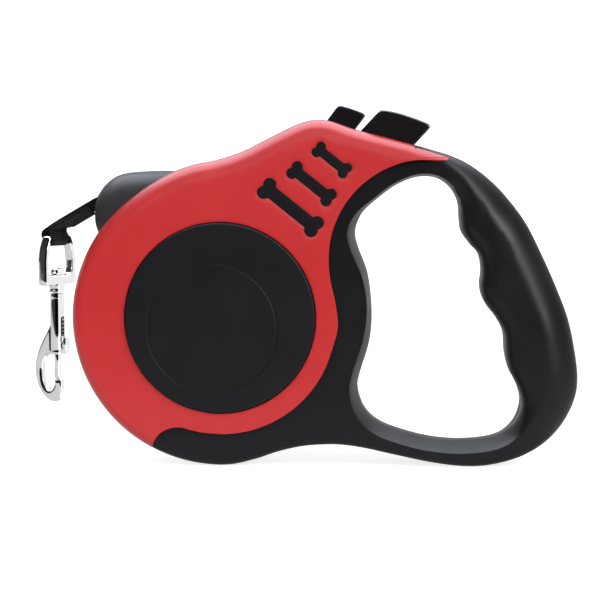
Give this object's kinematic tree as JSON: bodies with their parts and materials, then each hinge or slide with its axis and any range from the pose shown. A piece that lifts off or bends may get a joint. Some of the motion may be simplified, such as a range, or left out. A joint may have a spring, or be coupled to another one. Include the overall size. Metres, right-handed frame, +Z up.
{
  "type": "retractable leash",
  "caption": "Retractable tape leash with a looped hand grip, round reel casing, thumb brake and lock, and a swivel snap hook on the tape.",
  "frame": {"origin": "middle of the surface the leash stands on, in the middle of its length and thickness", "axes": "+Z up, +X from the nozzle and hook towards the hand grip, -Y out of the front face"},
  "size_m": [0.191, 0.0316, 0.1244],
  "materials": {
    "shell_black": "moulded black plastic, fine even texture",
    "cover_red": "smooth satin red plastic",
    "cap_black": "fine matt black plastic",
    "nozzle_grey": "satin dark grey plastic",
    "button_black": "glossy black plastic",
    "screw_steel": "zinc-plated steel",
    "axle_steel": "turned steel",
    "washer_nylon": "natural nylon",
    "reel_plastic": "moulded dark grey plastic",
    "spring_steel": "blued spring steel",
    "tape_black": "woven black nylon webbing",
    "hook_chrome": "polished chrome plate"
  },
  "bodies": {
    "casing": {"front_shell": "shell_black", "rear_shell": "shell_black", "front_cover": "cover_red", "rear_cover": "cover_red", "front_cap": "cap_black", "rear_cap": "cap_black", "casing_screws": "screw_steel", "axle_screw": "screw_steel", "nozzle": "nozzle_grey", "reel_axle": "axle_steel", "reel_washers": "washer_nylon", "tape_feed": "tape_black", "brake_spring": "spring_steel"},
    "reel": {"reel_drum": "reel_plastic", "reel_flange": "reel_plastic", "reel_screws": "screw_steel", "spring_cover": "reel_plastic", "power_spring": "spring_steel", "tape_winding": "tape_black"},
    "leash_end": {"tape_end": "tape_black"},
    "eye": {"swivel_eye": "hook_chrome"},
    "hook": {"hook_body": "hook_chrome", "bolt_spring": "spring_steel"},
    "bolt": {"hook_bolt": "hook_chrome"},
    "brake": {"brake_button": "button_black"},
    "lock": {"lock_button": "button_black"}
  },
  "joints": [
    {"name": "leash_pull", "type": "slide", "parent": "casing", "child": "leash_end", "axis": [-1, 0, 0], "range_m": [0, 5], "stiffness_N_per_m": 1, "springref_m": -5},
    {"name": "reel_spin", "type": "hinge", "parent": "casing", "child": "reel", "pos_m": [-0.02815, 0, 0.05153], "axis": [0, -1, 0], "range_deg": [0, 9360], "deforming": ["power_spring"]},
    {"name": "hook_swing", "type": "hinge", "parent": "leash_end", "child": "eye", "pos_m": [-0.08645, -0.001, 0.07793], "axis": [0.5299, 0.848, 0], "range_deg": [0, 110]},
    {"name": "hook_swivel", "type": "hinge", "parent": "eye", "child": "hook", "pos_m": [-0.08645, -0.001, 0.07793], "axis": [0, 0, 1], "continuous": true},
    {"name": "bolt_slide", "type": "slide", "parent": "hook", "child": "bolt", "axis": [0, 0, 1], "range_m": [0, 0.0085], "stiffness_N_per_m": 200, "springref_m": -0.004, "deforming": ["bolt_spring"]},
    {"name": "brake_press", "type": "slide", "parent": "casing", "child": "brake", "axis": [-0.682, 0, -0.7314], "range_m": [0, 0.004], "stiffness_N_per_m": 600, "springref_m": -0.004, "deforming": ["brake_spring"]},
    {"name": "lock_press", "type": "slide", "parent": "casing", "child": "lock", "axis": [-0.6018, 0, -0.7986], "range_m": [0, 0.0034]}
  ],
  "couplings": [
    {"joint": "reel_spin", "follows": "leash_pull", "rad_per_m": 32.672}
  ]
}
